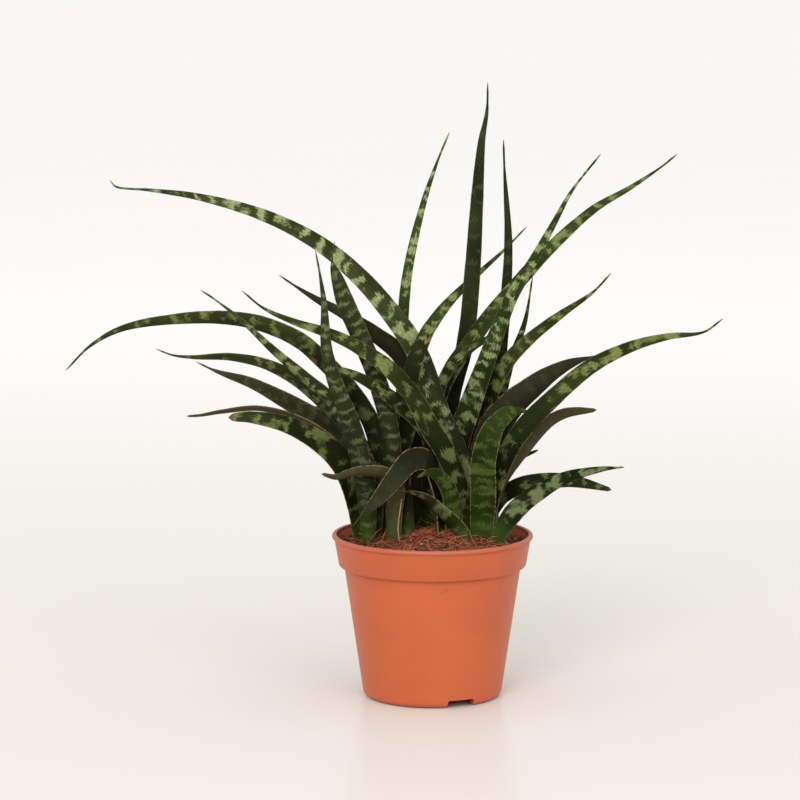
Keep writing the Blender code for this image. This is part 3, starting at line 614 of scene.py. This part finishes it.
def make_pot(material):
    bm = bmesh.new()
    turned(bm, pot_outline(), POT_STEPS)
    pot = add_piece("pot_shell", bm, material)
    cutters = []
    for index in range(3):
        angle = NOTCH_FIRST_ANGLE + 2 * pi * index / 3
        bm = bmesh.new()
        bmesh.ops.create_cube(bm, size=1.0)
        bmesh.ops.scale(bm, vec=(NOTCH_CUT_DEPTH * MM, NOTCH_WIDTH * MM, 2 * NOTCH_HEIGHT * MM),
                        verts=bm.verts)
        upright = [edge for edge in bm.edges
                   if abs(edge.verts[0].co.x - edge.verts[1].co.x) > 0.01
                   and edge.verts[0].co.z > 0]
        bmesh.ops.bevel(bm, geom=upright, offset=1.2 * MM, segments=4, affect="EDGES", profile=0.5)
        turn = Matrix.Rotation(angle, 4, "Z") @ Matrix.Translation(
            (NOTCH_CUT_RADIUS * MM, 0.0, 0.0))
        bmesh.ops.transform(bm, matrix=turn, verts=bm.verts)
        cutters.append(add_piece(f"notch_{index + 1}", bm, material))
    for index in range(DRAIN_COUNT):
        angle = NOTCH_FIRST_ANGLE + pi / 6 + 2 * pi * index / DRAIN_COUNT
        bm = bmesh.new()
        bmesh.ops.create_cone(bm, cap_ends=True, segments=24, radius1=DRAIN_RADIUS * MM,
                              radius2=DRAIN_RADIUS * MM, depth=8 * MM)
        place = Matrix.Translation(Vector((DRAIN_RING_RADIUS * cos(angle),
                                           DRAIN_RING_RADIUS * sin(angle), 5.5)) * MM)
        bmesh.ops.transform(bm, matrix=place, verts=bm.verts)
        cutters.append(add_piece(f"drain_{index + 1}", bm, material))
    for cutter in cutters:
        boolean = pot.modifiers.new(cutter.name, "BOOLEAN")
        boolean.operation = "DIFFERENCE"
        boolean.solver = "EXACT"
        boolean.object = cutter
    keep_modified_mesh(pot)
    for cutter in cutters:
        bpy.data.objects.remove(cutter, do_unlink=True)
    pot.data.set_sharp_from_angle(angle=radians(38))
    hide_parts("pot")
    return pot


def keep_modified_mesh(piece):
    """Replaces the piece's mesh by what its modifiers make of it."""
    bpy.context.view_layer.update()
    evaluated = piece.evaluated_get(bpy.context.evaluated_depsgraph_get())
    mesh = bpy.data.meshes.new_from_object(evaluated)
    piece.modifiers.clear()
    piece.data = mesh


def soil_height(x, y):
    """Height in mm of the soil's surface."""
    spread = min(1.0, sqrt(x * x + y * y) / SOIL_RADIUS)
    height = SOIL_RIM_Z + SOIL_CROWN_RISE * (1 - spread**2)
    mound = 3.0 * max(0.0, 1 - sqrt((x - 1) ** 2 + (y + 16) ** 2) / 18)
    lumps = 1.3 * noise.noise(Vector((x, y, 0.0)) * 0.13) + 0.8 * noise.noise(
        Vector((x, y, 4.0)) * 0.4)
    return height + mound + lumps * (1 - 0.6 * spread**6)


def make_soil(material):
    """The soil's mass: a lumpy top on the body that fills the pot."""
    bm = bmesh.new()
    rings, steps = 56, 132
    centre = bm.verts.new((0.0, 0.0, soil_height(0, 0) * MM))
    previous = None
    side = [(SOIL_RADIUS, SOIL_RIM_Z - 4.0), (BAND_BOTTOM_RADIUS - WALL - 0.6, BAND_BOTTOM_Z + 1.4),
            (BODY_TOP_RADIUS - WALL - 0.4, BODY_TOP_Z), (body_radius(7.0) - WALL - 0.5, 6.8)]
    for ring in range(1, rings + 1 + len(side)):
        row = []
        for step in range(steps):
            angle = 2 * pi * step / steps
            if ring <= rings:
                radius = SOIL_RADIUS * ring / rings
                x, y = radius * cos(angle), radius * sin(angle)
                z = soil_height(x, y)
            else:
                radius, z = side[ring - rings - 1]
                x, y = radius * cos(angle), radius * sin(angle)
            row.append(bm.verts.new((x * MM, y * MM, z * MM)))
        for step in range(steps):
            following = (step + 1) % steps
            if previous is None:
                bm.faces.new((centre, row[step], row[following]))
            else:
                bm.faces.new((previous[step], row[step], row[following], previous[following]))
        previous = row
    bm.faces.new(previous[::-1])
    bmesh.ops.recalc_face_normals(bm, faces=bm.faces)
    soil = add_piece("soil_mass", bm, material)
    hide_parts("potting_soil")
    return soil


def add_strand(bm, tone_layer, tone, points, radius, sides=5):
    """A thin tube through the points, tapered at both ends."""
    rings = []
    last = len(points) - 1
    for index, point in enumerate(points):
        along = (points[min(index + 1, last)] - points[max(index - 1, 0)]).normalized()
        across = along.cross(Vector((0.31, 0.52, 0.79))).normalized()
        up = along.cross(across)
        here = radius * (0.45 if index in (0, last) else 1.0)
        ring = []
        for side in range(sides):
            angle = 2 * pi * side / sides
            vert = bm.verts.new((point + (across * cos(angle) + up * sin(angle)) * here) * MM)
            vert[tone_layer] = tone
            ring.append(vert)
        rings.append(ring)
    for lower, upper in zip(rings, rings[1:]):
        for side in range(sides):
            following = (side + 1) % sides
            bm.faces.new((lower[side], lower[following], upper[following], upper[side]))
    bm.faces.new(rings[0][::-1])
    bm.faces.new(rings[-1])


def make_fibres(material):
    """Coir fibres that lie tangled on the soil, with some ends sticking up."""
    chance = Random(11)
    bm = bmesh.new()
    tone = bm.verts.layers.float.new("tone")
    for index in range(FIBRE_COUNT):
        if index % 3:
            x, y = chance.gauss(1, 16), chance.gauss(-22, 13)
        else:
            radius, angle = FIBRE_SPREAD * sqrt(chance.random()), 2 * pi * chance.random()
            x, y = radius * cos(angle), radius * sin(angle)
        if x * x + y * y > FIBRE_SPREAD**2:
            continue
        heading = 2 * pi * chance.random()
        length = chance.uniform(3, 12)
        rise = chance.uniform(0.0, 0.35) if index % 9 else chance.uniform(0.5, 1.3)
        bend = chance.uniform(-0.9, 0.9)
        points = []
        for step in range(7):
            reach = length * (step / 6 - 0.5)
            turn = heading + bend * step / 6
            px, py = x + reach * cos(turn), y + reach * sin(turn)
            spread = sqrt(px * px + py * py)
            if spread > FIBRE_REACH:
                px, py = px * FIBRE_REACH / spread, py * FIBRE_REACH / spread
            arch = rise * length * (0.25 + step / 6) * 0.5
            points.append(Vector((px, py, soil_height(px, py) + 0.2 + arch)))
        add_strand(bm, tone, chance.random(), points, chance.uniform(0.08, 0.2))
    bmesh.ops.recalc_face_normals(bm, faces=bm.faces)
    fibres = add_piece("coir_fibres", bm, material)
    return fibres


def make_crumbs(name, count, sizes, flatness, spread, seed, material):
    """Irregular lumps pressed into the soil's surface."""
    chance = Random(seed)
    bm = bmesh.new()
    tone = bm.verts.layers.float.new("tone")
    for index in range(count):
        radius, angle = spread * sqrt(chance.random()), 2 * pi * chance.random()
        x, y = radius * cos(angle), radius * sin(angle)
        size = chance.uniform(*sizes)
        made = bmesh.ops.create_icosphere(bm, subdivisions=2, radius=size * MM)["verts"]
        shade = chance.random()
        stretch = Vector((1.0, chance.uniform(0.5, 0.9), flatness * chance.uniform(0.6, 1.0)))
        turn = Matrix.Rotation(chance.uniform(0, 2 * pi), 3, "Z") @ Matrix.Rotation(
            chance.uniform(-0.6, 0.6), 3, "X")
        centre = Vector((x, y, soil_height(x, y) + 0.3 * size * flatness)) * MM
        for vert in made:
            rough = 1 + 0.45 * noise.noise(vert.co / (size * MM) * 1.7 + Vector((index, 0, 0)))
            vert.co = turn @ (vert.co * stretch * rough) + centre
            vert[tone] = shade
    crumbs = add_piece(name, bm, material)
    return crumbs


def make_dry_strand(material):
    """A dried pale strand that hangs from the leaves down to the soil."""
    bm = bmesh.new()
    tone = bm.verts.layers.float.new("tone")
    route = ((-18.5, -27, 123), (-19.2, -28, 117), (-20.2, -29, 111), (-20.6, -30, 106),
             (-20.2, -31, 101), (-19.4, -32, 98))
    add_strand(bm, tone, 0.8, [Vector(point) for point in route], 0.3, sides=7)
    strand = add_piece("dried_strand", bm, material)
    return strand


# ---------------------------------------------------------------- other finishes

def distance(finish, x, z, centre_x, centre_z, slope):
    """Stretched distance from a short sloping line on the pot's front."""
    off_x = x - centre_x
    off_z = z - centre_z - off_x * slope
    return finish.node("ShaderNodeMath", {"operation": "SQRT"},
                       {0: off_x * off_x * 0.08 + off_z * off_z * 6.0})


def pot_finish():
    finish = Finish("terracotta_plastic", roughness=0.42, specular=0.45)
    place = finish.node("ShaderNodeTexCoord", output=3)
    x, y, z = finish.split(place)
    cloud = finish.noise(place, 28.0, 3.0)
    grain = finish.noise(place, 900.0, 2.0)
    colour = finish.mix(finish.between(cloud, 0.3, 0.7), (0.470, 0.091, 0.026),
                        (0.510, 0.100, 0.031))
    lip = finish.between(z, 0.0955, 0.0969)
    colour = finish.mix(lip * 0.6, colour, (0.35, 0.105, 0.062))
    low = finish.between(z, 0.020, 0.0)
    colour = finish.mix(low * 0.25, colour, (0.55, 0.120, 0.050))
    scratch = finish.largest(distance(finish, x, z, 0.0068, 0.0725, 0.5), y + 0.03)
    colour = finish.mix(finish.between(scratch, 0.0012, 0.0002) * 0.7, colour,
                        (0.20, 0.040, 0.018))
    finish.feed("Base Color", colour)
    finish.feed("Roughness", 0.36 + cloud * 0.16)
    finish.bump(grain * 0.4 + cloud * 0.6, 0.00006, 0.5)
    return finish.material


def soil_finish():
    finish = Finish("coir_and_peat", roughness=0.95, specular=0.2)
    place = finish.node("ShaderNodeTexCoord", output=3)
    crumbs = finish.noise(place, 420.0, 4.0, 0.65)
    patches = finish.noise(place, 90.0, 3.0)
    colour = finish.node("ShaderNodeValToRGB", {"stops": (
        (0.34, (0.012, 0.004, 0.002)), (0.47, (0.080, 0.020, 0.008)),
        (0.58, (0.230, 0.060, 0.022)), (0.70, (0.420, 0.150, 0.070)))}, {0: crumbs})
    colour = finish.mix(finish.between(patches, 0.4, 0.7) * 0.5, colour, (0.030, 0.011, 0.006))
    finish.feed("Base Color", colour)
    finish.bump(crumbs, 0.0012, 1.0)
    return finish.material


def strand_finish(name, dark, light, roughness=0.8):
    finish = Finish(name, roughness=roughness, specular=0.3)
    place = finish.node("ShaderNodeTexCoord", output=3)
    speckle = finish.noise(place, 700.0, 3.0)
    shade = finish.attribute("tone") * 0.75 + (speckle - 0.5) * 0.6
    finish.feed("Base Color", finish.mix(finish.between(shade, 0.0, 0.8), dark, light))
    finish.bump(speckle, 0.0003, 0.7)
    return finish.material


def floor_finish():
    finish = Finish("studio_floor", roughness=0.28, specular=0.05)
    place = finish.node("ShaderNodeTexCoord", output=3)
    depth = finish.split(place)[1]
    # Painted shade: the floor is darker and warmer near the pot and the camera, fading to near white
    # further back.
    near = finish.between(depth, -3.9, -6.3)
    colour = finish.mix(near, (0.985, 0.975, 0.960), (0.690, 0.660, 0.610))
    haze = finish.noise(place, 3.0, 2.0)
    colour = finish.mix(finish.between(haze, 0.2, 0.8) * 0.04, colour, (0.62, 0.58, 0.54))
    finish.feed("Base Color", colour)
    return finish.material


# ---------------------------------------------------------------- stage, lights and camera

def make_floor(material):
    bm = bmesh.new()
    bmesh.ops.create_grid(bm, x_segments=8, y_segments=8, size=22.0)
    floor = add_piece("studio_floor", bm, material)
    floor.location = (0.0, 6.0, -0.0002)


def add_softbox(name, place, target, width, height, power, colour=(1.0, 1.0, 1.0)):
    light = bpy.data.lights.new(name, "AREA")
    light.shape = "RECTANGLE"
    light.size = width
    light.size_y = height
    light.energy = power
    light.color = colour
    lamp = bpy.data.objects.new(name, light)
    bpy.context.scene.collection.objects.link(lamp)
    lamp.location = place
    lamp.rotation_euler = (Vector(target) - Vector(place)).to_track_quat("-Z", "Y").to_euler()


def light_studio():
    world = bpy.data.worlds.new("studio")
    world.use_nodes = True
    background = world.node_tree.nodes["Background"]
    background.inputs["Color"].default_value = (1.0, 0.995, 0.985, 1.0)
    background.inputs["Strength"].default_value = 0.955
    bpy.context.scene.world = world
    add_softbox("key", (-0.7, -2.3, 1.6), (0.0, 0.0, 0.15), 1.2, 1.2, 38)
    add_softbox("fill", (1.2, -2.0, 1.3), (0.0, 0.0, 0.15), 1.4, 1.4, 14)


def place_camera():
    data = bpy.data.cameras.new("camera")
    data.lens = 145.5
    data.sensor_width = 36.0
    data.clip_end = 100.0
    camera = bpy.data.objects.new("camera", data)
    bpy.context.scene.collection.objects.link(camera)
    camera.location = (-0.0194, -1.9, 0.4455)
    camera.rotation_euler = (radians(90 - 8.02), 0.0, 0.0)
    bpy.context.scene.camera = camera


def main():
    bpy.context.scene.view_settings.view_transform = "Standard"
    finishes = {name: leaf_finish(name, skin) for name, skin in SKINS.items()}
    pieces = []
    for number, leaf in enumerate(LEAVES):
        blade = make_leaf(leaf, number, finishes[leaf.skin])
        pieces.append(blade)
    pieces.append(make_pot(pot_finish()))
    pieces.append(make_soil(soil_finish()))
    pieces.append(make_fibres(strand_finish("coir_fibre", (0.060, 0.012, 0.005),
                                            (0.56, 0.18, 0.070))))
    pieces.append(make_crumbs("soil_crumbs", 420, (0.5, 1.7), 0.8, 53, 5, strand_finish(
        "soil_crumb", (0.015, 0.006, 0.004), (0.17, 0.06, 0.03), 0.95)))
    pieces.append(make_crumbs("wood_chips", 26, (0.8, 1.9), 0.45, 50, 23, strand_finish(
        "wood_chip", (0.30, 0.17, 0.09), (0.62, 0.46, 0.30), 0.85)))
    pieces.append(make_dry_strand(strand_finish("dry_strand", (0.12, 0.045, 0.02),
                                                (0.42, 0.27, 0.15))))
    for piece in pieces:
        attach(piece, "root")
    make_floor(floor_finish())
    light_studio()
    place_camera()


main()
